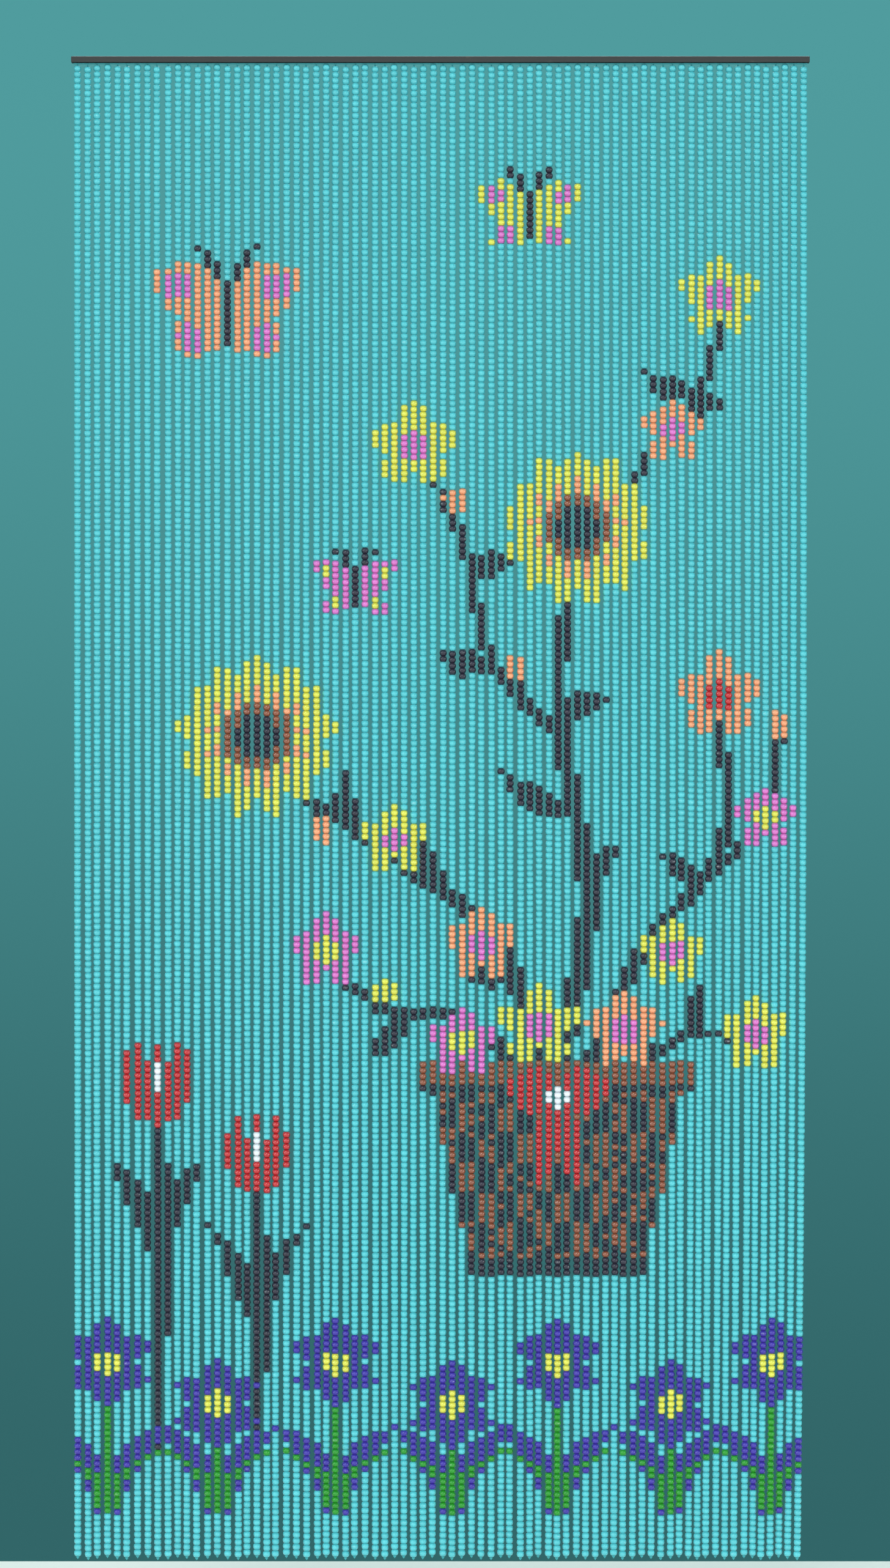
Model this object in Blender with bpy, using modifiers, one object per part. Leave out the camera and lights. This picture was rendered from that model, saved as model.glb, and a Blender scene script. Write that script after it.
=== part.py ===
"""A bead curtain: strings of round beads hung side by side from a slim heading lath."""

import math
from collections import namedtuple

import bmesh
import bpy

# Driving sizes in metres. The lath's top face is Z = 0, and the front faces -Y.
STRAND_COUNT = 76
STRAND_PITCH = 0.013
BEAD_DIAMETER = 0.010
BEAD_HEIGHT = 0.008
BEADS_PER_STRAND = 250

LATH_HEIGHT = 0.008
LATH_DEPTH = 0.014
LATH_OVERHANG = 0.003
LATH_EDGE = 0.0008

TOUCHING_GAP = 0.0003
BINDING_HEIGHT = 0.0015
BINDING_DEPTH = 0.004
THREAD_LENGTH = 0.0005
KNOT_LENGTH = 0.004

# How far the strings stray from an even, plumb row. A ripple runs from string to string: its size,
# its turn for each string in radians, and where it starts.
Ripple = namedtuple("Ripple", "size turn start")
ROOT_STRAY = Ripple(0.0004, 2.1, 0.4)
LEAN = Ripple(0.0004, 2.4, 0.0)
SLOW_LEAN = Ripple(0.0007, 0.83, 1.0)
DEPTH_LEAN = Ripple(0.0009, 1.9, 0.6)
SWING = Ripple(0.0003, 2.3, 0.0)
SWING_WAVES = 1.6
CROWDING = 0.010
SLACK = Ripple(0.0015, 1.7, 0.0)

# The strings on the right are drawn in towards the foot: how far, and the powers by which that
# grows from left to right and from the lath down.
DrawIn = namedtuple("DrawIn", "size across_power down_power")
DRAW_IN = DrawIn(0.009, 4, 3)

# Where neighbouring strings part: after which string, at what share of the fall, how far up and
# down that reaches, and the extra width.
WideGap = namedtuple("WideGap", "after fall reach width")
WIDE_GAPS = (
    WideGap(8, 0.05, 0.40, 0.0012),
    WideGap(12, 0.80, 0.30, 0.0010),
    WideGap(22, 0.95, 0.30, 0.0012),
    WideGap(40, 0.88, 0.40, 0.0024),
    WideGap(56, 0.95, 0.30, 0.0012),
    WideGap(68, 0.80, 0.30, 0.0012),
)
PUSHED_STRINGS = 5

# A string's section as a share of the bead's, along its thread and its knot.
THREAD_SHARE = 0.22
KNOT_SHARE = 0.34
BODY_SEGMENTS = 6

STRINGS_WIDTH = (STRAND_COUNT - 1) * STRAND_PITCH
BINDING_WIDTH = STRINGS_WIDTH + BEAD_DIAMETER
LATH_LENGTH = BINDING_WIDTH + 2 * LATH_OVERHANG
BINDING_TOP = -LATH_HEIGHT - TOUCHING_GAP
BINDING_BOTTOM = BINDING_TOP - BINDING_HEIGHT
BEADS_TOP = BINDING_BOTTOM - THREAD_LENGTH
BEADS_LENGTH = BEADS_PER_STRAND * BEAD_HEIGHT

# Colour, roughness and metallic value of each sub-part.
LATH_FINISH = ((0.035, 0.035, 0.035), 0.5, 0.0)
BEAD_FINISH = ((0.108, 0.565, 0.624), 0.35, 0.0)


def clear_scene():
    for old in list(bpy.data.objects):
        bpy.data.objects.remove(old)


def new_collection(name):
    collection = bpy.data.collections.new(name)
    bpy.context.scene.collection.children.link(collection)
    return collection


def make_material(name, finish):
    colour, roughness, metallic = finish
    material = bpy.data.materials.new(name)
    material.use_nodes = True
    shader = material.node_tree.nodes["Principled BSDF"]
    shader.inputs["Base Color"].default_value = (*colour, 1.0)
    shader.inputs["Roughness"].default_value = roughness
    shader.inputs["Metallic"].default_value = metallic
    return material


def move_to(obj, collection):
    for owner in list(obj.users_collection):
        owner.objects.unlink(obj)
    collection.objects.link(obj)


def make_box(name, size, top, collection):
    """A box centred on X and Y whose top face lies at the given height."""
    bpy.ops.mesh.primitive_cube_add(size=1.0, location=(0.0, 0.0, top - size[2] / 2))
    box = bpy.context.object
    box.name = name
    box.scale = size
    bpy.ops.object.transform_apply(location=False, rotation=False, scale=True)
    move_to(box, collection)
    return box


def push_aside(strand, fall):
    """How far the wide gaps push a string sideways, less with each string away from the gap."""
    push = 0.0
    for gap in WIDE_GAPS:
        places = strand - gap.after - 0.5
        share = max(0.0, 1.0 - (abs(places) - 0.5) / PUSHED_STRINGS)
        swell = math.exp(-(((fall - gap.fall) / gap.reach) ** 2))
        push += math.copysign(gap.width / 2 * share * swell, places)
    return push


def strayed(ripple, strand, along=0.0):
    return ripple.size * math.sin(ripple.turn * strand + ripple.start + along)


def strand_place(strand, fall):
    """Where (x, y) a string hangs, at a fall from 0 at the lath to 1 at the foot."""
    even = strand * STRAND_PITCH - STRINGS_WIDTH / 2
    crowded = CROWDING * (1.0 - (2 * even / STRINGS_WIDTH) ** 2)
    swing = strayed(SWING, strand, 2 * math.pi * SWING_WAVES * fall)
    lean = (strayed(LEAN, strand) + strayed(SLOW_LEAN, strand) + swing) * fall
    across = (strand / (STRAND_COUNT - 1)) ** DRAW_IN.across_power
    draw = DRAW_IN.size * across * fall**DRAW_IN.down_power
    x = even + crowded + strayed(ROOT_STRAY, strand) + lean - draw + push_aside(strand, fall)
    return x, strayed(DEPTH_LEAN, strand) * fall


def first_bead_top(strand):
    """The height at which a string's beads begin: its thread is a little slack or short."""
    return BEADS_TOP - SLACK.size - strayed(SLACK, strand)


def strand_stations(strand):
    """(height, share of the bead's section) down one string, from its root to its knot."""
    top = first_bead_top(strand)
    bottom = top - BEADS_LENGTH
    shoulder = BEAD_HEIGHT / 4
    first, last = top - shoulder, bottom + shoulder
    stations = [
        (BINDING_TOP - BINDING_HEIGHT / 2, THREAD_SHARE),
        (top, THREAD_SHARE),
    ]
    for step in range(BODY_SEGMENTS + 1):
        stations.append((first + (last - first) * step / BODY_SEGMENTS, 1.0))
    stations += [
        (bottom, KNOT_SHARE),
        (bottom - KNOT_LENGTH, KNOT_SHARE),
    ]
    return stations


def make_string_curve(collection):
    """All strings as one curve of four-sided tubes."""
    curve = bpy.data.curves.new("string_lines", "CURVE")
    curve.dimensions = "3D"
    curve.bevel_depth = BEAD_DIAMETER / 2
    curve.bevel_resolution = 0
    curve.use_fill_caps = True
    for strand in range(STRAND_COUNT):
        stations = strand_stations(strand)
        spline = curve.splines.new("POLY")
        spline.points.add(len(stations) - 1)
        for point, (height, share) in zip(spline.points, stations):
            fall = max(0.0, (BEADS_TOP - height) / BEADS_LENGTH)
            point.co = (*strand_place(strand, fall), height, 1.0)
            point.radius = share
    lines = bpy.data.objects.new("string_lines", curve)
    collection.objects.link(lines)
    return lines


def curve_to_mesh(lines, name, collection):
    """The curve as a mesh whose caps are welded to its sides."""
    graph = bpy.context.evaluated_depsgraph_get()
    mesh = bpy.data.meshes.new_from_object(lines.evaluated_get(graph))
    bm = bmesh.new()
    bm.from_mesh(mesh)
    bmesh.ops.remove_doubles(bm, verts=bm.verts, dist=1e-6)
    bmesh.ops.recalc_face_normals(bm, faces=bm.faces)
    bm.to_mesh(mesh)
    bm.free()
    tubes = bpy.data.objects.new(name, mesh)
    tubes.matrix_world = lines.matrix_world
    collection.objects.link(tubes)
    bpy.data.objects.remove(lines)
    return tubes


def make_bead_strands(curtain, cutters):
    """The strings, fused at their roots into the binding that runs under the lath."""
    size = (BINDING_WIDTH, BINDING_DEPTH, BINDING_HEIGHT)
    strands = make_box("bead_strands", size, BINDING_TOP, curtain)
    strings = curve_to_mesh(make_string_curve(cutters), "string_tubes", cutters)
    strings.hide_render = True
    strings.display_type = "WIRE"
    union = strands.modifiers.new("roots", "BOOLEAN")
    union.operation = "UNION"
    union.object = strings
    strands.data.materials.append(make_material("bead_turquoise", BEAD_FINISH))


def make_lath(curtain):
    """The slim dark lath that carries the strings."""
    size = (LATH_LENGTH, LATH_DEPTH, LATH_HEIGHT)
    lath = make_box("heading_lath", size, 0.0, curtain)
    edge = lath.modifiers.new("eased_edges", "BEVEL")
    edge.width = LATH_EDGE
    edge.segments = 2
    lath.data.materials.append(make_material("lath_dark", LATH_FINISH))


def main():
    clear_scene()
    curtain = new_collection("bead_curtain")
    cutters = new_collection("cutters")
    make_lath(curtain)
    make_bead_strands(curtain, cutters)


main()
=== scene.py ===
"""The looks of a bead curtain: 19,000 lacquered beads, their threads and knots, and the lath."""

import math
from collections import namedtuple

import bpy
import numpy as np
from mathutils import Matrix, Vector


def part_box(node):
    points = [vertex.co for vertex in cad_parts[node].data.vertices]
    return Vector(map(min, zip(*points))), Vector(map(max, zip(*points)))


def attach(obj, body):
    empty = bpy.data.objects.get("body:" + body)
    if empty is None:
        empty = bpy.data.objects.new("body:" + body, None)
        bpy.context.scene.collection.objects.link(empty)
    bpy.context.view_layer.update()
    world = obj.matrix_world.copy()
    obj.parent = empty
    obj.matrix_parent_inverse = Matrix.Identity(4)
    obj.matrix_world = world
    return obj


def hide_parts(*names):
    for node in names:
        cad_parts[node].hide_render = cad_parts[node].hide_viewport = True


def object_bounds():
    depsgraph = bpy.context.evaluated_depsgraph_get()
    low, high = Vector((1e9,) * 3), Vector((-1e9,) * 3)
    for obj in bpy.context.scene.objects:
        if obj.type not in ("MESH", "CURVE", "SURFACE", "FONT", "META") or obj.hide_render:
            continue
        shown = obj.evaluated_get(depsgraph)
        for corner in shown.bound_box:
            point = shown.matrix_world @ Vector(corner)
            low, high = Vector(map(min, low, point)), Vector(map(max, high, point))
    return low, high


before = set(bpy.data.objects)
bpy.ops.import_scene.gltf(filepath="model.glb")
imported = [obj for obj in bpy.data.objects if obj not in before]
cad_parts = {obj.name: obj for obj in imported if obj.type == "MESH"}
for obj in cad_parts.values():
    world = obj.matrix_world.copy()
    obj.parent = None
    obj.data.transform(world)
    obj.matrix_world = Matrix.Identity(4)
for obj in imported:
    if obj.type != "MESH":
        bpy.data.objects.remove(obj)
model_box = [list(corner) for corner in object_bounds()]

# Sizes in metres, the same as the solids'. The lath's top face is Z = 0, and the front faces -Y.
STRAND_COUNT = 76
STRAND_PITCH = 0.013
BEAD_DIAMETER = 0.010
BEAD_HEIGHT = 0.008
BEADS_PER_STRAND = 250
THREAD_LENGTH = 0.0005
BINDING_HEIGHT = 0.0015
BINDING_DEPTH = 0.004

# How far the strings stray from an even, plumb row. A ripple runs from string to string: its size,
# its turn for each string in radians, and where it starts.
Ripple = namedtuple("Ripple", "size turn start")
ROOT_STRAY = Ripple(0.0004, 2.1, 0.4)
LEAN = Ripple(0.0004, 2.4, 0.0)
SLOW_LEAN = Ripple(0.0007, 0.83, 1.0)
DEPTH_LEAN = Ripple(0.0009, 1.9, 0.6)
SWING = Ripple(0.0003, 2.3, 0.0)
SWING_WAVES = 1.6
CROWDING = 0.010
SLACK = Ripple(0.0015, 1.7, 0.0)

# The strings on the right are drawn in towards the foot: how far, and the powers by which that
# grows from left to right and from the lath down.
DrawIn = namedtuple("DrawIn", "size across_power down_power")
DRAW_IN = DrawIn(0.009, 4, 3)

# Where neighbouring strings part: after which string, at what share of the fall, how far up and
# down that reaches, and the extra width.
WideGap = namedtuple("WideGap", "after fall reach width")
WIDE_GAPS = (
    WideGap(8, 0.05, 0.40, 0.0012),
    WideGap(12, 0.80, 0.30, 0.0010),
    WideGap(22, 0.95, 0.30, 0.0012),
    WideGap(40, 0.88, 0.40, 0.0024),
    WideGap(56, 0.95, 0.30, 0.0012),
    WideGap(68, 0.80, 0.30, 0.0012),
)
PUSHED_STRINGS = 5

STRINGS_WIDTH = (STRAND_COUNT - 1) * STRAND_PITCH
BINDING_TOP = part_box("bead_strands")[1].z
BEADS_TOP = BINDING_TOP - BINDING_HEIGHT - THREAD_LENGTH
BEADS_LENGTH = BEADS_PER_STRAND * BEAD_HEIGHT

# A bead's outline: rings at these shares of its height, with these shares of its widest radius.
# The last ring of a bead is the first of the next. Girth tells the neck, 0, from the widest, 1.
# Tilts are how far up the surface leans at each ring, in degrees, so that it shades as round.
BEAD_SIDES = 6
RING_HEIGHTS = (0.0, 0.16, 0.50, 0.84)
RING_WIDTHS = (0.62, 0.86, 1.0, 0.86)
RING_GIRTHS = (0.0, 0.65, 1.0, 0.65)
RING_TILTS = (62.0, 42.0, 0.0, -42.0, -62.0)
RINGS_PER_BEAD = len(RING_HEIGHTS)

# How the beads differ in width, as a share of it, and how far they sit off their string's line, in
# metres: the usual spread, and the least and the most.
Spread = namedtuple("Spread", "usual least most")
BEAD_WIDTHS = Spread(0.018, -0.04, 0.03)
BEAD_PLACES = Spread(0.0001, -0.0002, 0.0002)
SEED = 41


def strayed(ripple, strand, along=0.0):
    return ripple.size * np.sin(ripple.turn * strand + ripple.start + along)


def push_aside(strand, fall):
    """How far the wide gaps push a string sideways, less with each string away from the gap."""
    push = 0.0
    for gap in WIDE_GAPS:
        places = strand - gap.after - 0.5
        share = max(0.0, 1.0 - (abs(places) - 0.5) / PUSHED_STRINGS)
        swell = np.exp(-(((fall - gap.fall) / gap.reach) ** 2))
        push = push + math.copysign(gap.width / 2 * share, places) * swell
    return push


def strand_place(strand, fall):
    """Where (x, y) a string hangs, at a fall from 0 at the lath to 1 at the foot."""
    even = strand * STRAND_PITCH - STRINGS_WIDTH / 2
    crowded = CROWDING * (1.0 - (2 * even / STRINGS_WIDTH) ** 2)
    swing = strayed(SWING, strand, 2 * math.pi * SWING_WAVES * fall)
    lean = (strayed(LEAN, strand) + strayed(SLOW_LEAN, strand) + swing) * fall
    across = (strand / (STRAND_COUNT - 1)) ** DRAW_IN.across_power
    draw = DRAW_IN.size * across * fall**DRAW_IN.down_power
    x = even + crowded + strayed(ROOT_STRAY, strand) + lean - draw + push_aside(strand, fall)
    return x, strayed(DEPTH_LEAN, strand) * fall


def first_bead_top(strand):
    """The height at which a string's beads begin, as slack as its thread is."""
    return BEADS_TOP - SLACK.size - strayed(SLACK, strand)


# The picture is charted bead by bead. Its sizes are in millimetres: x across from the middle, fall
# down from the first beads. Shares are of the motif's own size, and angles are in degrees.
COLOURS = ("turquoise", "yellow", "peach", "orchid", "plum", "rust", "red", "white", "blue", "green")
FIELD = "turquoise"
MM = 0.001
COLUMN = STRAND_PITCH / MM
ROW = BEAD_HEIGHT / MM
ACROSS = (np.arange(STRAND_COUNT) - (STRAND_COUNT - 1) / 2) * COLUMN
DOWN = (np.arange(BEADS_PER_STRAND) + 0.5) * ROW
X, FALL = np.meshgrid(ACROSS, DOWN, indexing="ij")
CELLS = np.full(X.shape, COLOURS.index(FIELD))

# A leaf is widest before its middle when this power is under 1.
LEAF_SWELL = 0.8
# A stem is this many beads thick for each string that it is wide.
STEM_ROWS = 1.35
CURVE_STEPS = 80


def paint(mask, colour):
    CELLS[mask] = COLOURS.index(colour)


def ellipse(x, fall, across, down=None):
    down = across if down is None else down
    return ((X - x) / across) ** 2 + ((FALL - fall) / down) ** 2 < 1.0


def block(x, fall, half_width, half_height):
    return (np.abs(X - x) < half_width) & (np.abs(FALL - fall) < half_height)


def on_string(x):
    """The place of the string nearest to x."""
    return (math.floor(x / COLUMN) + 0.5) * COLUMN


def polar(x, fall):
    """How far each bead is from a point, and in which direction, as an angle from straight up."""
    return np.hypot(X - x, FALL - fall), np.arctan2(X - x, fall - FALL)


def petals(x, fall, radius, count, dip):
    """A round flower head whose edge dips between its petals, with one petal straight up."""
    reach, angle = polar(x, fall)
    return reach < radius * (1 - dip + dip * np.abs(np.cos(count / 2 * angle)))


def leaf(x, fall, length, width, heading, bend=0.0):
    """A pointed leaf from its stalk end. Heading is 0 to the right and 90 up."""
    angle = math.radians(heading)
    along = (X - x) * math.cos(angle) - (FALL - fall) * math.sin(angle)
    side = (X - x) * math.sin(angle) + (FALL - fall) * math.cos(angle)
    share = np.clip(along / length, 0, 1)
    half = width / 2 * np.sin(math.pi * share**LEAF_SWELL)
    bent = side + bend * 4 * share * (1 - share)
    return (along > 0) & (along < length) & (np.abs(bent) < half)


def curve_points(ends):
    """Points on a smooth curve through the given ones."""
    given = np.array(ends, float)
    given = np.vstack([2 * given[0] - given[1], given, 2 * given[-1] - given[-2]])
    step = np.linspace(0, 1, CURVE_STEPS)[:, None]
    found = []
    for a, b, c, d in zip(given, given[1:], given[2:], given[3:]):
        cubic = (3 * b - a - 3 * c + d) * step**3
        square = (2 * a - 5 * b + 4 * c - d) * step**2
        found.append(0.5 * (2 * b + (c - a) * step + square + cubic))
    return np.vstack(found)


def stem(ends, start, end):
    """A line through the given points, whose width runs from start to end, in strings."""
    mask = np.zeros(X.shape, bool)
    points = curve_points(ends)
    for (x, fall), width in zip(points, np.linspace(start, end, len(points))):
        mask |= np.hypot((X - x) / COLUMN, (FALL - fall) / (ROW * STEM_ROWS)) < width / 2
    return mask


# Long leaves and ribbons come in pairs, one to each side of a root: how far aside and below it they
# start, their size, how far they spread from upright, and how far they bend.
Blade = namedtuple("Blade", "apart drop length width spread bend colour")
TULIP_BLADES = (Blade(0, 190, 165, 34, 24, 14, "plum"),)
BORDER_BLADES = (
    Blade(10, 0, 146, 36, 34, 26, "blue"),
    Blade(10, 0, 104, 15, 34, 20, "green"),
)
BOW_BLADES = (
    Blade(0, 0, 82, 62, 76, 0, "red"),
    Blade(0, 8, 120, 40, 168, 6, "red"),
)


def blade_pairs(x, fall, blades):
    """Paints each blade to the left of a root and to the right."""
    for side in (-1, 1):
        for one in blades:
            root = x + side * one.apart
            heading = 90 - side * one.spread
            mask = leaf(root, fall + one.drop, one.length, one.width, heading, side * one.bend)
            paint(mask, one.colour)


ROSETTE_PETALS = 5
ROSETTE_DIP = 0.45
ROSETTE_HEART = 0.36


def rosette(x, fall, radius, petal, heart):
    x = on_string(x)
    paint(petals(x, fall, radius, ROSETTE_PETALS, ROSETTE_DIP), petal)
    paint(ellipse(x, fall, radius * ROSETTE_HEART), heart)


BUD_LENGTH = 46
BUD_WIDTH = 36
BUD_CUP_WIDTH = 9
BUD_CUP_HEIGHT = 10


def bud(x, fall, heading, colour):
    paint(leaf(x, fall, BUD_LENGTH, BUD_WIDTH, heading), colour)
    paint(ellipse(x, fall, BUD_CUP_WIDTH, BUD_CUP_HEIGHT), "plum")


# A sunflower's rings, from its petals in. The flecks show where a wave round the head is over a
# level.
SUN_PETALS = 13
SUN_DIP = 0.22
SUN_FLECKS_OUT = 0.66
SUN_FLECKS_IN = 0.40
SUN_FLECK_LEVEL = 0.35
SUN_SEEDS = 0.44
SUN_EYE = 0.27


def sunflower(x, fall, radius):
    x = on_string(x)
    paint(petals(x, fall, radius, SUN_PETALS, SUN_DIP), "yellow")
    reach, angle = polar(x, fall)
    ring = (reach < radius * SUN_FLECKS_OUT) & (reach > radius * SUN_FLECKS_IN)
    paint(ring & (np.cos(SUN_PETALS * angle) > SUN_FLECK_LEVEL), "peach")
    paint(reach < radius * SUN_SEEDS, "rust")
    paint(reach < radius * SUN_EYE, "plum")


# A butterfly's upper and lower wing: how far it points up, its size, and how far out its spot is.
# Its feelers are as many strings wide as FEELER_WIDTH says.
Wing = namedtuple("Wing", "rise length width spot_reach")
WINGS = (
    Wing(28, 1.0, 0.66, 0.62),
    Wing(-37, 0.80, 0.56, 0.50),
)
WING_SPOT = 0.16
BODY_HALF_WIDTH = 7
BODY_HALF_LENGTH = 0.38
FEELER_ROOT = 0.3
FEELER_SPREAD = 0.3
FEELER_RISE = 0.72
FEELER_WIDTH = 1.0


def butterfly(x, fall, size, wing, spot):
    x = on_string(x)
    for side in (-1, 1):
        for part in WINGS:
            heading = part.rise if side > 0 else 180 - part.rise
            paint(leaf(x, fall, size * part.length, size * part.width, heading), wing)
            angle = math.radians(part.rise)
            spot_x = x + side * math.cos(angle) * size * part.spot_reach
            spot_fall = fall - math.sin(angle) * size * part.spot_reach
            paint(ellipse(spot_x, spot_fall, size * WING_SPOT), spot)
        tip = (x + side * size * FEELER_SPREAD, fall - size * FEELER_RISE)
        paint(stem(((x, fall - size * FEELER_ROOT), tip), FEELER_WIDTH, FEELER_WIDTH), "plum")
    paint(block(x, fall, BODY_HALF_WIDTH, size * BODY_HALF_LENGTH), "plum")


# A tulip's cup: its half width and its tips are shares of its height, and its foot is fuller with a
# higher roundness. The gleam runs from a share of the height to another, and its half width is a
# share of the cup's. The stalk bows to the right at a drop below the cup. Its width is in strings.
CUP_HALF_WIDTH = 0.42
CUP_TIPS = 0.34
CUP_TIP_COUNT = 3
CUP_ROUNDNESS = 4
GLEAM_TOP = 0.20
GLEAM_FOOT = 0.62
GLEAM_HALF_WIDTH = 0.16
STALK_BOW = 8
STALK_BOW_DROP = 130
STALK_WIDTH = 1.3
TULIP_GROUND = 1855


def tulip(x, fall, height):
    """A red cup with pointed tips and a white gleam, on a stalk with two blades."""
    x = on_string(x)
    foot = fall + height
    down = (FALL - fall) / height
    across = (X - x) / (height * CUP_HALF_WIDTH)
    tips = CUP_TIPS * np.abs(np.sin(CUP_TIP_COUNT / 2 * math.pi * (across + 1)))
    inside = np.abs(across) < np.sqrt(1 - np.clip(down, 0, 1) ** CUP_ROUNDNESS)
    cup = (down > CUP_TIPS - tips) & (down < 1) & inside
    gleam = (down > GLEAM_TOP) & (down < GLEAM_FOOT) & (np.abs(across) < GLEAM_HALF_WIDTH)
    stalk = ((x, foot), (x + STALK_BOW, foot + STALK_BOW_DROP), (x, TULIP_GROUND))
    paint(stem(stalk, STALK_WIDTH, STALK_WIDTH), "plum")
    blade_pairs(x, foot, TULIP_BLADES)
    paint(cup, "red")
    paint(cup & gleam, "white")


# The basket's wicker is checks of so many strings by so many beads, and a share of its beads are
# loose flecks of each colour. Its sides bulge while the bulge, a power, is under 1. Bands run round
# its rim and its foot: how far down, half their height, and how far they stand out at each side.
CHECK_STRINGS = 2
CHECK_BEADS = 5
PLUM_FLECKS = 0.14
RUST_FLECKS = 0.10
BASKET_BULGE = 0.7
Band = namedtuple("Band", "drop half_height overhang colour")
RIM_BANDS = (Band(0, 18, 14, "rust"), Band(22, 5, 8, "plum"))
FOOT_BANDS = (Band(0, 14, 10, "plum"),)


def level_bands(x, fall, half_width, bands):
    """Paints bands across a place, each a little wider than it."""
    for band in bands:
        paint(block(x, fall + band.drop, half_width + band.overhang, band.half_height), band.colour)


def basket(x, rim, foot, top_half, foot_half):
    """A wicker basket that tapers from its rim to its foot."""
    chance = np.random.default_rng(SEED).random((2, *X.shape))
    down = (FALL - rim) / (foot - rim)
    half = foot_half + (top_half - foot_half) * np.clip(1 - down, 0, 1) ** BASKET_BULGE
    body = (down > 0) & (down < 1) & (np.abs(X - x) < half)
    check_column = np.floor((X - x) / (CHECK_STRINGS * COLUMN))
    check_row = np.floor((FALL - rim) / (CHECK_BEADS * ROW))
    paint(body, "plum")
    paint(body & ((check_column + check_row) % 2 == 0), "rust")
    paint(body & (chance[0] < PLUM_FLECKS), "plum")
    paint(body & (chance[1] < RUST_FLECKS), "rust")
    level_bands(x, rim, top_half, RIM_BANDS)
    level_bands(x, foot, foot_half, FOOT_BANDS)


BOW_KNOT = 17


def ribbon_bow(x, fall):
    """A red bow with two loops, two tails and a white knot."""
    blade_pairs(x, fall, BOW_BLADES)
    paint(ellipse(x, fall, BOW_KNOT), "white")


# The border's flowers stand a repeat apart, so many to each side of the middle one.
BORDER_REPEAT = 150
BORDER_REACH = 3
BORDER_GROUND = 1945
TALL_FALL = 1742
SHORT_FALL = 1796
BORDER_RADIUS = 60
BORDER_PETALS = 6
BORDER_DIP = 0.46
BORDER_HEART = 17


def border():
    """A row of blue flowers, tall and short in turn, on green stems between arching blades."""
    places = range(-BORDER_REACH, BORDER_REACH + 1)
    for place in places:
        blade_pairs(on_string(place * BORDER_REPEAT), BORDER_GROUND, BORDER_BLADES)
    for place in places:
        x = on_string(place * BORDER_REPEAT)
        fall = TALL_FALL if place % 2 else SHORT_FALL
        paint((X == x) & (FALL > fall) & (FALL < BORDER_GROUND), "green")
        paint(petals(x, fall, BORDER_RADIUS, BORDER_PETALS, BORDER_DIP), "blue")
        paint(ellipse(x, fall, BORDER_HEART), "yellow")


Stem = namedtuple("Stem", "points start end")
STEMS = (
    Stem(((120, 1350), (70, 1180), (-90, 1050), (-250, 940)), 2.2, 1.3),
    Stem(((150, 1350), (190, 1120), (150, 860), (175, 640)), 2.4, 1.4),
    Stem(((190, 1350), (270, 1180), (374, 1050), (372, 860)), 2.0, 1.1),
    Stem(((100, 1350), (20, 1280), (-80, 1270), (-160, 1205)), 1.7, 1.1),
    Stem(((150, 900), (60, 800), (20, 640), (-40, 520)), 1.4, 1.0),
    Stem(((345, 1100), (430, 1010), (455, 900)), 1.2, 1.0),
    Stem(((240, 1350), (330, 1300), (420, 1310)), 1.4, 1.0),
    Stem(((172, 700), (250, 560), (350, 420), (370, 330)), 1.4, 1.0),
)
LEAF_WIDTH = 34
LEAF_BEND = 10
Leaf = namedtuple("Leaf", "x fall length heading")
LEAVES = (
    Leaf(165, 1000, 110, 150),
    Leaf(182, 1130, 105, 58),
    Leaf(0, 1105, 100, 120),
    Leaf(-120, 1035, 90, 100),
    Leaf(352, 1090, 74, 148),
    Leaf(90, 1220, 90, 165),
    Leaf(60, 800, 80, 170),
    Leaf(22, 690, 80, 20),
    Leaf(150, 880, 80, 20),
    Leaf(310, 470, 80, 10),
    Leaf(338, 436, 80, 160),
    Leaf(-60, 1268, 80, 230),
    Leaf(340, 1300, 70, 80),
)
Rosette = namedtuple("Rosette", "x fall radius petal heart")
ROSETTES = (
    Rosette(370, 846, 60, "peach", "red"),
    Rosette(-165, 1190, 52, "orchid", "yellow"),
    Rosette(40, 1180, 50, "peach", "orchid"),
    Rosette(120, 1290, 58, "yellow", "orchid"),
    Rosette(235, 1295, 54, "peach", "orchid"),
    Rosette(20, 1310, 48, "orchid", "yellow"),
    Rosette(-45, 510, 60, "yellow", "orchid"),
    Rosette(372, 310, 56, "yellow", "orchid"),
    Rosette(440, 1010, 44, "orchid", "yellow"),
    Rosette(425, 1300, 50, "yellow", "orchid"),
    Rosette(300, 1190, 46, "yellow", "orchid"),
    Rosette(-70, 1040, 48, "yellow", "orchid"),
    Rosette(300, 490, 44, "peach", "orchid"),
)
Bud = namedtuple("Bud", "x fall heading colour")
BUDS = (
    Bud(95, 830, 100, "peach"),
    Bud(455, 908, 92, "peach"),
    Bud(-10, 590, 20, "peach"),
    Bud(-172, 1002, -80, "peach"),
    Bud(-84, 1266, 92, "yellow"),
)
Sunflower = namedtuple("Sunflower", "x fall radius")
SUNFLOWERS = (
    Sunflower(-250, 900, 108),
    Sunflower(180, 620, 104),
)
Butterfly = namedtuple("Butterfly", "x fall size wing spot")
BUTTERFLIES = (
    Butterfly(-290, 330, 118, "peach", "orchid"),
    Butterfly(110, 200, 84, "yellow", "orchid"),
    Butterfly(-130, 700, 66, "orchid", "yellow"),
)
Tulip = namedtuple("Tulip", "x fall height")
TULIPS = (
    Tulip(-380, 1310, 112),
    Tulip(-255, 1410, 104),
)
Basket = namedtuple("Basket", "x rim foot top_half foot_half")
BASKET = Basket(on_string(150), 1350, 1610, 175, 110)
BOW_FALL = 1385


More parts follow.
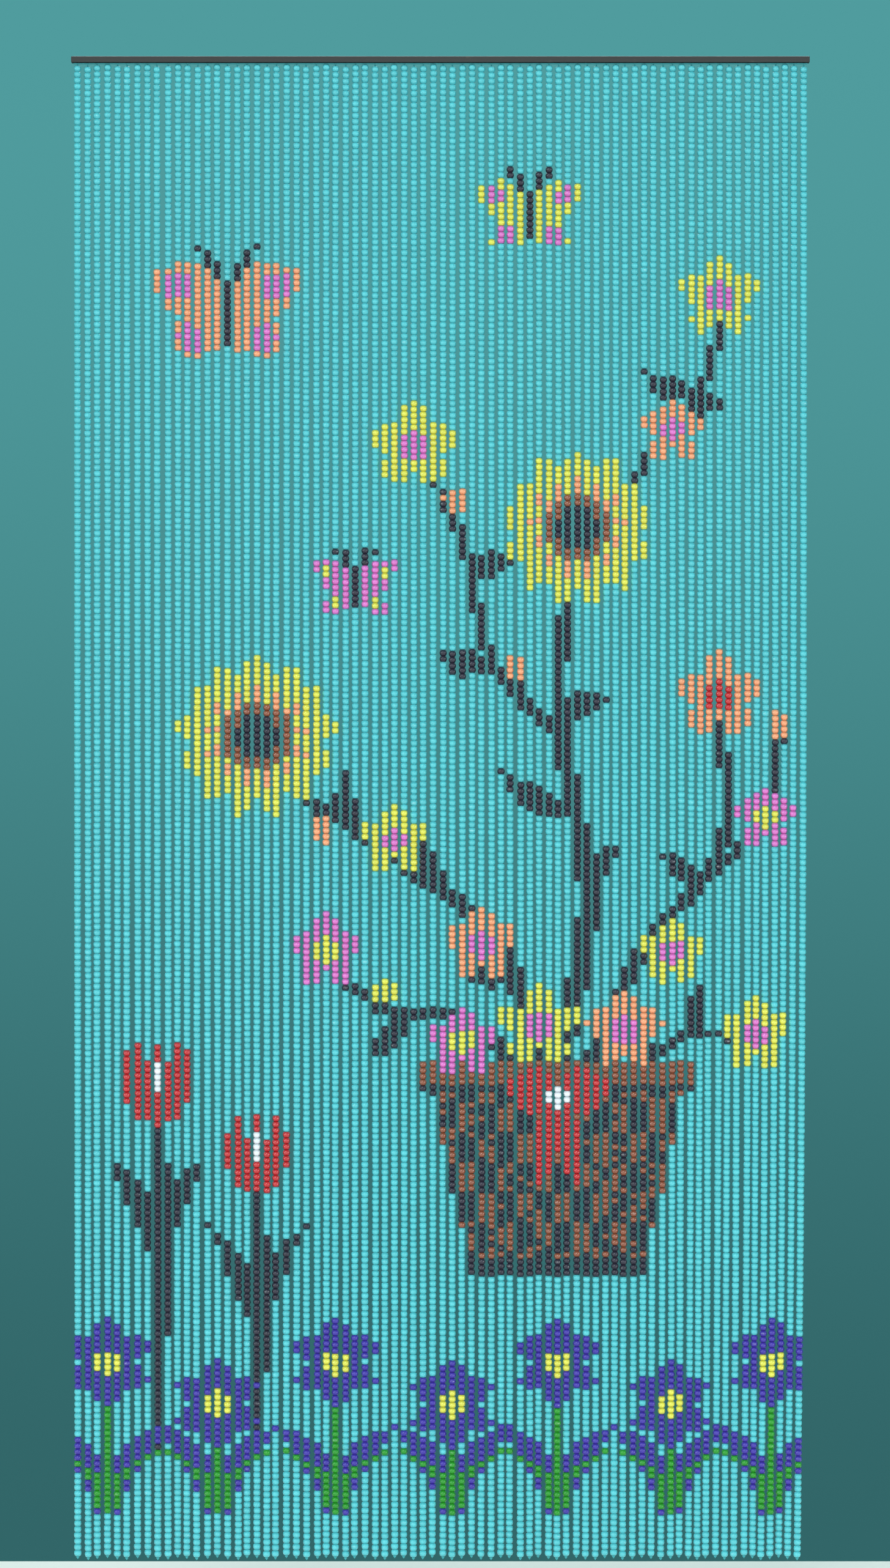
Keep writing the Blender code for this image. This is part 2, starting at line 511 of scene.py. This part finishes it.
def chart_picture():
    """A basket of garden flowers with butterflies, two tulips and a border of blue flowers."""
    for line in STEMS:
        paint(stem(*line), "plum")
    for one in LEAVES:
        paint(leaf(one.x, one.fall, one.length, LEAF_WIDTH, one.heading, LEAF_BEND), "plum")
    basket(*BASKET)
    for one in SUNFLOWERS:
        sunflower(*one)
    for one in ROSETTES:
        rosette(*one)
    for one in BUDS:
        bud(*one)
    ribbon_bow(BASKET.x, BOW_FALL)
    for one in BUTTERFLIES:
        butterfly(*one)
    for one in TULIPS:
        tulip(*one)
    border()


# Meshes

UP = np.array((0.0, 0.0, 1.0))
# The tint of whatever has none of its own, between the darkest, 0, and the lightest, 1.
MIDDLE_TINT = 0.5


class Tubes:
    """Gathers closed tubes, each a row of rings, into one mesh."""

    def __init__(self, sides):
        self.sides = sides
        self.points, self.quads, self.caps, self.girths, self.tints = [], [], [], [], []
        self.normals, self.cap_normals = [], []
        self.count = 0

    def add(self, rings, girth=None, tint=None, tilts=None):
        """A tube through rings of points, with a girth for each ring and a tint for each span.
        Tilts are how far the surface leans up, in degrees, at the start and end of each span."""
        spans = len(rings) - 1
        girth = np.ones(spans + 1) if girth is None else girth
        tint = np.full(spans, MIDDLE_TINT) if tint is None else tint
        first = self.count + np.arange(spans)[:, None] * self.sides
        side = np.arange(self.sides)
        after = (side + 1) % self.sides
        below = first + self.sides
        quads = np.stack([first + side, below + side, below + after, first + after], axis=2)
        self.points.append(rings.reshape(-1, 3))
        self.quads.append(quads.reshape(-1, 4))
        self.caps.append(self.count + side)
        self.caps.append(self.count + spans * self.sides + side[::-1])
        self.girths.append(np.repeat(girth, self.sides))
        self.tints.append(np.repeat(tint, self.sides))
        if tilts is not None:
            self.add_normals(rings, np.radians(tilts), after)
        self.count += len(rings) * self.sides

    def add_normals(self, rings, tilts, after):
        """A normal for each corner of a tube's faces, as on a round bead."""
        out = rings - rings.mean(axis=1, keepdims=True)
        out /= np.linalg.norm(out, axis=2, keepdims=True)
        start = out[:-1] * np.cos(tilts[:, 0, None, None]) + UP * np.sin(tilts[:, 0, None, None])
        end = out[1:] * np.cos(tilts[:, 1, None, None]) + UP * np.sin(tilts[:, 1, None, None])
        corners = np.stack([start, end, end[:, after], start[:, after]], axis=2)
        self.normals.append(corners.reshape(-1, 3))
        self.cap_normals.append(np.tile(UP, (self.sides, 1)))
        self.cap_normals.append(np.tile(-UP, (self.sides, 1)))

    def build(self, name):
        points = np.vstack(self.points)
        quads = np.vstack(self.quads)
        caps = np.array(self.caps)
        corners = np.concatenate([quads.ravel(), caps.ravel()])
        sizes = np.concatenate([np.full(len(quads), 4), np.full(len(caps), self.sides)])
        mesh = bpy.data.meshes.new(name)
        mesh.vertices.add(len(points))
        mesh.vertices.foreach_set("co", points.ravel())
        mesh.loops.add(len(corners))
        mesh.loops.foreach_set("vertex_index", corners)
        mesh.polygons.add(len(sizes))
        mesh.polygons.foreach_set("loop_start", np.concatenate([[0], np.cumsum(sizes)[:-1]]))
        mesh.update(calc_edges=True)
        mesh.polygons.foreach_set("use_smooth", np.ones(len(sizes), bool))
        self.mark(mesh, len(caps))
        if self.normals:
            mesh.normals_split_custom_set(np.vstack([*self.normals, *self.cap_normals]))
        piece = bpy.data.objects.new(name, mesh)
        bpy.context.scene.collection.objects.link(piece)
        return piece

    def mark(self, mesh, cap_count):
        """Stores the girths and tints that the materials read, and keeps the necks' edges sharp."""
        ends = np.empty(len(mesh.edges) * 2, int)
        mesh.edges.foreach_get("vertices", ends)
        girths = np.concatenate(self.girths)
        girth = mesh.attributes.new("girth", "FLOAT", "POINT")
        girth.data.foreach_set("value", girths)
        sharp = mesh.attributes.new("sharp_edge", "BOOLEAN", "EDGE")
        sharp.data.foreach_set("value", girths[ends[0::2]] + girths[ends[1::2]] == 0)
        tint = mesh.attributes.new("tint", "FLOAT", "FACE")
        tints = np.concatenate([*self.tints, np.full(cap_count, MIDDLE_TINT)])
        tint.data.foreach_set("value", tints)


def round_rings(centres, radii, sides):
    """Level rings round the given centres, with corners straight left and right."""
    turns = np.arange(sides) * 2 * math.pi / sides
    circle = np.stack([np.cos(turns), np.sin(turns), np.zeros(sides)], axis=1)
    return centres[:, None, :] + np.asarray(radii)[:, None, None] * circle


def string_rings(strand, widths, offsets):
    """The rings of all beads down one string. Each bead has its own width and place, and the neck
    between two beads goes by the narrower one and lies midway between their places."""
    top = first_bead_top(strand)
    shares = np.array(RING_HEIGHTS)
    heights = top - (np.arange(BEADS_PER_STRAND)[:, None] + shares).ravel() * BEAD_HEIGHT
    heights = np.append(heights, top - BEADS_LENGTH)
    x, y = strand_place(strand, (BEADS_TOP - heights) / BEADS_LENGTH)
    ring_widths = np.repeat(widths[:, None], RINGS_PER_BEAD, axis=1)
    ring_widths[:, 0] = np.minimum(widths, np.roll(widths, 1))
    ring_offsets = np.repeat(offsets[:, None], RINGS_PER_BEAD, axis=1)
    ring_offsets[:, 0] = (offsets + np.roll(offsets, 1, axis=0)) / 2
    radii = (ring_widths * np.array(RING_WIDTHS)).ravel() * BEAD_DIAMETER / 2
    radii = np.append(radii, RING_WIDTHS[0] * BEAD_DIAMETER / 2)
    aside = np.vstack([ring_offsets.reshape(-1, 2), offsets[-1:]])
    centres = np.stack([x + aside[:, 0], y + aside[:, 1], heights], axis=1)
    return round_rings(centres, radii, BEAD_SIDES)


def runs_of(line):
    """(first bead, bead after the last, value) for each stretch of one value down a string."""
    edges = np.flatnonzero(np.diff(line)) + 1
    starts = [0, *edges]
    ends = [*edges, len(line)]
    return [(start, end, line[start]) for start, end in zip(starts, ends)]


def scatter(rng, spread, shape):
    """Random differences of a usual size, kept between the least and the most."""
    return rng.normal(0.0, spread.usual, shape).clip(spread.least, spread.most)


# The field is split into bands of strings, so that each mesh stays a fair size.
FIELD_BANDS = 5


def make_beads():
    """One joined mesh for each colour of bead, and one for each band of the field."""
    rng = np.random.default_rng(SEED)
    widths = 1.0 + scatter(rng, BEAD_WIDTHS, CELLS.shape)
    offsets = scatter(rng, BEAD_PLACES, (*CELLS.shape, 2))
    tints = rng.random(CELLS.shape)
    tilts = np.stack([RING_TILTS[:-1], RING_TILTS[1:]], axis=1)
    gathered = {}
    for strand in range(STRAND_COUNT):
        rings = string_rings(strand, widths[strand], offsets[strand])
        band = strand * FIELD_BANDS // STRAND_COUNT + 1
        for start, end, cell in runs_of(CELLS[strand]):
            name = f"beads_{COLOURS[cell]}"
            if COLOURS[cell] == FIELD:
                name += f"_{band}"
            run = rings[start * RINGS_PER_BEAD : end * RINGS_PER_BEAD + 1]
            girth = np.append(np.tile(RING_GIRTHS, end - start), RING_GIRTHS[0])
            tint = np.repeat(tints[strand, start:end], RINGS_PER_BEAD)
            tubes = gathered.setdefault(name, Tubes(BEAD_SIDES))
            tubes.add(run, girth, tint, np.tile(tilts, (end - start, 1)))
    return {name: tubes.build(name) for name, tubes in sorted(gathered.items())}


# Drops and radii in metres: the hitch that ties a string to the tape, down from the tape's top, and
# the knot under the last bead, down from the bead.
Turn = namedtuple("Turn", "drop radius")
HITCH = (
    Turn(0.0001, 0.0012),
    Turn(0.0004, 0.0022),
    Turn(0.0009, 0.0024),
    Turn(0.0014, 0.0021),
    Turn(0.0017, 0.0012),
)
KNOT = (
    Turn(-0.0004, 0.0012),
    Turn(0.0002, 0.0019),
    Turn(0.0009, 0.0022),
    Turn(0.0014, 0.0018),
    Turn(0.0019, 0.0021),
    Turn(0.0025, 0.0015),
    Turn(0.0028, 0.0008),
    Turn(0.0039, 0.0009),
)
TIE_SIDES = 8
# The thread starts at this drop, under the hitch, and ends this far inside the first bead.
THREAD_START = 0.0020
THREAD_IN_BEAD = BEAD_HEIGHT / 8
THREAD_RADIUS = 0.0009


def tie_rings(x, y, top, turns):
    centres = np.array([(x, y, top - turn.drop) for turn in turns])
    return round_rings(centres, [turn.radius for turn in turns], TIE_SIDES)


def make_threads():
    """Each string's hitch on the tape, with the bit of thread that runs on into its first bead."""
    threads = Tubes(TIE_SIDES)
    for strand in range(STRAND_COUNT):
        x, y = strand_place(strand, 0.0)
        end = BINDING_TOP - first_bead_top(strand) + THREAD_IN_BEAD
        turns = (*HITCH, Turn(THREAD_START, THREAD_RADIUS), Turn(end, THREAD_RADIUS))
        threads.add(tie_rings(x, y, BINDING_TOP, turns))
    return threads.build("top_threads")


def make_knots():
    """The knot and its cut end under each string's last bead."""
    knots = Tubes(TIE_SIDES)
    for strand in range(STRAND_COUNT):
        foot = first_bead_top(strand) - BEADS_LENGTH
        x, y = strand_place(strand, (BEADS_TOP - foot) / BEADS_LENGTH)
        knots.add(tie_rings(x, y, foot, KNOT))
    return knots.build("end_knots")


# The tape has rings at these places round each string, in reaches of its hitch. The pinch is the
# share by which a hitch draws it in.
HITCH_REACH = 0.0014
TAPE_STATIONS = (-2.0, -1.0, 0.0, 1.0, 2.0, 3.5)
TAPE_SIDES = 12
TAPE_PINCH = 0.22


def make_binding():
    """The tape that runs under the lath, with rounded edges, drawn in where each hitch grips it."""
    roots = np.array([strand_place(strand, 0.0)[0] for strand in range(STRAND_COUNT)])
    end = (STRINGS_WIDTH + BEAD_DIAMETER) / 2
    stations = (roots[:, None] + np.array(TAPE_STATIONS) * HITCH_REACH).ravel()
    stations = np.sort(stations[np.abs(stations) < end])
    stations = np.concatenate([[-end], stations, [end]])
    nearest = np.abs(stations[:, None] - roots).min(axis=1)
    fullness = 1.0 - TAPE_PINCH * np.exp(-((nearest / HITCH_REACH) ** 2))
    turns = np.arange(TAPE_SIDES) * 2 * math.pi / TAPE_SIDES
    y = np.cbrt(np.cos(turns)) * BINDING_DEPTH / 2
    z = -np.cbrt(np.sin(turns)) * BINDING_HEIGHT / 2
    rings = np.empty((len(stations), TAPE_SIDES, 3))
    rings[:, :, 0] = stations[:, None]
    rings[:, :, 1] = y * fullness[:, None]
    rings[:, :, 2] = BINDING_TOP - BINDING_HEIGHT / 2 + z * fullness[:, None]
    tape = Tubes(TAPE_SIDES)
    tape.add(rings)
    return tape.build("binding_tape")


# Materials


def srgb(red, green, blue):
    """A colour given as 0 to 255, as the shader's linear values."""
    values = []
    for value in (red, green, blue):
        share = value / 255
        values.append(share / 12.92 if share < 0.04045 else ((share + 0.055) / 1.055) ** 2.4)
    return (*values, 1.0)


def shaded(colour, factor):
    return (*(min(1.0, part * factor) for part in colour[:3]), 1.0)


def paler(colour, share):
    return (*(part + (1.0 - part) * share for part in colour[:3]), 1.0)


# How a bead is finished: its colour, its roughness, how much lacquer lies over it, and how dark its
# necks are beside the rest, which is painted shade in the crease between beads, with a little dust.
Finish = namedtuple("Finish", "colour roughness lacquer neck")
LACQUER_ROUGHNESS = 0.18


def satin(*colour):
    return Finish(srgb(*colour), roughness=0.42, lacquer=0.30, neck=0.72)


def glossy(*colour):
    return Finish(srgb(*colour), roughness=0.34, lacquer=0.90, neck=0.55)


FINISHES = {
    "turquoise": satin(87, 195, 204),
    "yellow": glossy(228, 220, 74),
    "peach": glossy(250, 158, 112),
    "orchid": glossy(224, 110, 196),
    "plum": satin(42, 34, 52),
    "rust": glossy(146, 76, 50),
    "red": glossy(200, 30, 38),
    "white": glossy(236, 236, 244),
    "blue": satin(64, 44, 160),
    "green": satin(36, 146, 32),
}
# Shades of a bead's colour: its darkest and lightest tint, and its grain. Rubbed spots go this far
# towards white. The grain takes this much off its roughness in places and adds this much in others.
DARK_TINT = 0.92
LIGHT_TINT = 1.05
GRAIN_SHADE = 0.84
RUBBED_PALER = 0.22
GRAIN_SMOOTHER = 0.06
GRAIN_ROUGHER = 0.10

STAIN_DARK = srgb(34, 32, 32)
STAIN_LIGHT = srgb(52, 49, 48)
STAIN_WORN = srgb(74, 67, 60)
THREAD_DARK = srgb(46, 140, 146)
THREAD_LIGHT = srgb(84, 184, 190)
# Heights in metres, and the thread's slant in degrees.
GRAIN_HEIGHT = 0.0002
TWIST_HEIGHT = 0.0003
TWIST_SLANT = 35


class Nodes:
    """A short way to lay out one material's nodes."""

    def __init__(self, name):
        self.material = bpy.data.materials.new(name)
        self.material.use_nodes = True
        self.tree = self.material.node_tree
        self.shader = self.tree.nodes["Principled BSDF"]

    def add(self, kind, **values):
        node = self.tree.nodes.new(kind)
        for key, value in values.items():
            if key in node.inputs:
                node.inputs[key].default_value = value
            else:
                setattr(node, key, value)
        return node

    def link(self, source, output, target, entry):
        self.tree.links.new(source.outputs[output], target.inputs[entry])

    def placed(self, **mapping):
        """The object's own coordinates, stretched or turned."""
        place = self.add("ShaderNodeTexCoord")
        mapped = self.add("ShaderNodeMapping", **mapping)
        self.link(place, "Object", mapped, "Vector")
        return mapped

    def noise(self, place, **values):
        node = self.add("ShaderNodeTexNoise", **values)
        self.link(place, "Vector", node, "Vector")
        return node

    def mix(self, low, high, source, output):
        """A colour between low and high, by another node's value."""
        node = self.add("ShaderNodeMix", data_type="RGBA")
        node.inputs["A"].default_value = low
        node.inputs["B"].default_value = high
        self.link(source, output, node, "Factor")
        return node

    def layer(self, under, colour, source, output="Result"):
        """A colour laid over another node's, by the share that a third node gives."""
        node = self.mix(colour, colour, source, output)
        self.link(under, "Result", node, "A")
        return node

    def between(self, source, output, start, end, low=0.0, high=1.0):
        """A value that runs from low to high while another node's runs from start to end."""
        node = self.add("ShaderNodeMapRange")
        node.inputs["From Min"].default_value = start
        node.inputs["From Max"].default_value = end
        node.inputs["To Min"].default_value = low
        node.inputs["To Max"].default_value = high
        self.link(source, output, node, "Value")
        return node

    def bump(self, source, output, strength, distance):
        node = self.add("ShaderNodeBump", Strength=strength, Distance=distance)
        self.link(source, output, node, "Height")
        self.link(node, "Normal", self.shader, "Normal")

    def finish(self, colour, roughness=None):
        """Sets the nodes that give the shader its colour and roughness."""
        self.link(colour, "Result", self.shader, "Base Color")
        if roughness is not None:
            self.link(roughness, "Result", self.shader, "Roughness")
        return self.material


def bead_material(name, finish):
    """Lacquer on turned wood: each bead has its own tint over a faint grain. Its necks are darkened
    with painted shade, with a little dust, and some beads are rubbed paler where they are widest."""
    made = Nodes(name)
    own = made.add("ShaderNodeAttribute", attribute_name="tint")
    girth = made.add("ShaderNodeAttribute", attribute_name="girth")
    grain = made.noise(made.placed(Scale=(1.0, 1.0, 0.35)), Scale=420.0, Detail=3.0, Roughness=0.6)
    rub = made.noise(made.placed(), Scale=95.0, Detail=5.0, Roughness=0.7)

    tinted = made.mix(shaded(finish.colour, DARK_TINT), shaded(finish.colour, LIGHT_TINT), own, "Fac")
    grain_share = made.between(grain, "Fac", start=0.48, end=0.80)
    grained = made.layer(tinted, shaded(finish.colour, GRAIN_SHADE), grain_share)
    # Painted shade, with a little dust, darkens each bead towards its necks, where it meets the next.
    neck_shade_share = made.between(girth, "Fac", start=0.6, end=0.0)
    with_neck_shade = made.layer(grained, shaded(finish.colour, finish.neck), neck_shade_share)
    rubbed = made.add("ShaderNodeMath", operation="MULTIPLY")
    made.link(made.between(rub, "Fac", start=0.60, end=0.72), "Result", rubbed, 0)
    made.link(made.between(girth, "Fac", start=0.80, end=1.0), "Result", rubbed, 1)
    whole = made.layer(with_neck_shade, paler(finish.colour, RUBBED_PALER), rubbed, "Value")

    smooth = finish.roughness - GRAIN_SMOOTHER
    rough = finish.roughness + GRAIN_ROUGHER
    shine = made.between(grain, "Fac", start=0.0, end=1.0, low=smooth, high=rough)
    made.bump(grain, "Fac", strength=0.12, distance=GRAIN_HEIGHT)
    made.shader.inputs["Coat Weight"].default_value = finish.lacquer
    made.shader.inputs["Coat Roughness"].default_value = LACQUER_ROUGHNESS
    return made.finish(whole, shine)


def lath_material():
    """Dark stained wood with a long fine grain, and a little wear."""
    made = Nodes("dark_stained_wood")
    grain = made.noise(made.placed(Scale=(0.04, 1.0, 1.0)), Scale=900.0, Detail=5.0, Roughness=0.65)
    wear = made.noise(made.placed(), Scale=38.0, Detail=6.0, Roughness=0.7)
    stained = made.mix(STAIN_DARK, STAIN_LIGHT, grain, "Fac")
    worn = made.layer(stained, STAIN_WORN, made.between(wear, "Fac", start=0.62, end=0.74))
    shine = made.between(grain, "Fac", start=0.0, end=1.0, low=0.38, high=0.62)
    made.bump(grain, "Fac", strength=0.35, distance=GRAIN_HEIGHT)
    return made.finish(worn, shine)


def thread_material():
    """Twisted thread: fine slanting strands of light and dark."""
    made = Nodes("twisted_thread")
    turned = made.placed(Rotation=(0.0, math.radians(TWIST_SLANT), 0.0))
    twist = made.add("ShaderNodeTexWave", Scale=650.0, Distortion=1.5, Detail=1.0)
    made.link(turned, "Vector", twist, "Vector")
    made.bump(twist, "Fac", strength=0.5, distance=TWIST_HEIGHT)
    made.shader.inputs["Roughness"].default_value = 0.85
    return made.finish(made.mix(THREAD_DARK, THREAD_LIGHT, twist, "Fac"))


# Camera, light and floor

PHOTO_WIDTH = 1456
PHOTO_HEIGHT = 2564
CURTAIN_TOP_PX = 93
CURTAIN_FOOT_PX = 2551
CURTAIN_MIDDLE_PX = 720.5
CAMERA_DISTANCE = 7.0
SENSOR_MM = 36.0


def make_camera():
    low, high = Vector(model_box[0]), Vector(model_box[1])
    metres_per_px = (high.z - low.z) / (CURTAIN_FOOT_PX - CURTAIN_TOP_PX)
    data = bpy.data.cameras.new("camera")
    data.sensor_width = SENSOR_MM
    data.lens = SENSOR_MM * CAMERA_DISTANCE / (PHOTO_HEIGHT * metres_per_px)
    camera = bpy.data.objects.new("camera", data)
    camera.location = (
        (high.x + low.x) / 2 + (PHOTO_WIDTH / 2 - CURTAIN_MIDDLE_PX) * metres_per_px,
        -CAMERA_DISTANCE,
        high.z - (PHOTO_HEIGHT / 2 - CURTAIN_TOP_PX) * metres_per_px,
    )
    camera.rotation_euler = (math.radians(90), 0.0, 0.0)
    bpy.context.scene.collection.objects.link(camera)
    bpy.context.scene.camera = camera


# Soft lights far off, so that the whole fall is lit evenly. Azimuth is in degrees from the front,
# positive to the right, and angle is how wide each looks from the curtain.
Lamp = namedtuple("Lamp", "name azimuth elevation angle strength")
LAMPS = (
    Lamp("key", -14, 40, 24, 1.25),
    Lamp("low", 8, -38, 40, 0.80),
    Lamp("front", 4, 2, 40, 0.35),
    Lamp("left", -64, 6, 40, 1.25),
    Lamp("right", 64, 6, 40, 1.25),
    Lamp("behind", 180, 46, 40, 2.50),
)


def make_lamps():
    for lamp in LAMPS:
        azimuth, elevation = math.radians(lamp.azimuth), math.radians(lamp.elevation)
        level = math.cos(elevation)
        source = Vector((math.sin(azimuth) * level, -math.cos(azimuth) * level, math.sin(elevation)))
        data = bpy.data.lights.new(lamp.name, "SUN")
        data.energy = lamp.strength
        data.angle = math.radians(lamp.angle)
        light = bpy.data.objects.new(lamp.name, data)
        light.location = source * CAMERA_DISTANCE
        light.rotation_euler = source.to_track_quat("Z", "Y").to_euler()
        bpy.context.scene.collection.objects.link(light)


BACKDROP_LOW = srgb(50, 102, 104)
BACKDROP_HIGH = srgb(80, 156, 158)
BACKDROP_BLEND = 0.15


def make_backdrop():
    """A plain backdrop that is a little lighter above eye level than below it."""
    world = bpy.data.worlds.new("studio")
    world.use_nodes = True
    nodes, links = world.node_tree.nodes, world.node_tree.links
    place = nodes.new("ShaderNodeTexCoord")
    split = nodes.new("ShaderNodeSeparateXYZ")
    rise = nodes.new("ShaderNodeMapRange")
    rise.interpolation_type = "SMOOTHSTEP"
    rise.inputs["From Min"].default_value = -BACKDROP_BLEND
    rise.inputs["From Max"].default_value = BACKDROP_BLEND
    colour = nodes.new("ShaderNodeMix")
    colour.data_type = "RGBA"
    colour.inputs["A"].default_value = BACKDROP_LOW
    colour.inputs["B"].default_value = BACKDROP_HIGH
    links.new(place.outputs["Generated"], split.inputs["Vector"])
    links.new(split.outputs["Z"], rise.inputs["Value"])
    links.new(rise.outputs["Result"], colour.inputs["Factor"])
    links.new(colour.outputs["Result"], nodes["Background"].inputs["Color"])
    bpy.context.scene.world = world


# The floor lies a little below the strings, and ends just behind them.
FLOOR_CLEARANCE = 0.09
FLOOR_THICKNESS = 0.03
FLOOR_EDGE = FLOOR_THICKNESS / 4
FLOOR_WIDTH = 5.0
FLOOR_FRONT = -3.6
FLOOR_BACK = 0.6
FLOOR_DARK = srgb(206, 203, 197)
FLOOR_LIGHT = srgb(214, 212, 207)


def make_floor():
    middle = (FLOOR_FRONT + FLOOR_BACK) / 2
    height = model_box[0][2] - FLOOR_CLEARANCE - FLOOR_THICKNESS / 2
    bpy.ops.mesh.primitive_cube_add(size=1.0, location=(0.0, middle, height))
    floor = bpy.context.object
    floor.name = "floor"
    floor.visible_shadow = False
    floor.scale = (FLOOR_WIDTH, FLOOR_BACK - FLOOR_FRONT, FLOOR_THICKNESS)
    bpy.ops.object.transform_apply(location=False, rotation=False, scale=True)
    edge = floor.modifiers.new("soft_edges", "BEVEL")
    edge.width = FLOOR_EDGE
    edge.segments = 3
    made = Nodes("pale_floor")
    cloud = made.add("ShaderNodeTexNoise", Scale=3.0, Detail=4.0)
    made.shader.inputs["Roughness"].default_value = 0.8
    floor.data.materials.append(made.finish(made.mix(FLOOR_DARK, FLOOR_LIGHT, cloud, "Fac")))


def dress():
    chart_picture()
    beads = make_beads()
    materials = {name: bead_material("lacquered_" + name, FINISHES[name]) for name in COLOURS}
    for name, piece in beads.items():
        colour = name.split("_")[1]
        piece.data.materials.append(materials[colour])
        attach(piece, "root")
    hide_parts("bead_strands")
    thread = thread_material()
    for piece in (make_binding(), make_threads(), make_knots()):
        piece.data.materials.append(thread)
        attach(piece, "root")
    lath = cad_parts["heading_lath"]
    for slot in lath.material_slots:
        slot.material = lath_material()


dress()
make_floor()
make_camera()
make_lamps()
make_backdrop()
bpy.context.scene.view_settings.view_transform = "Standard"
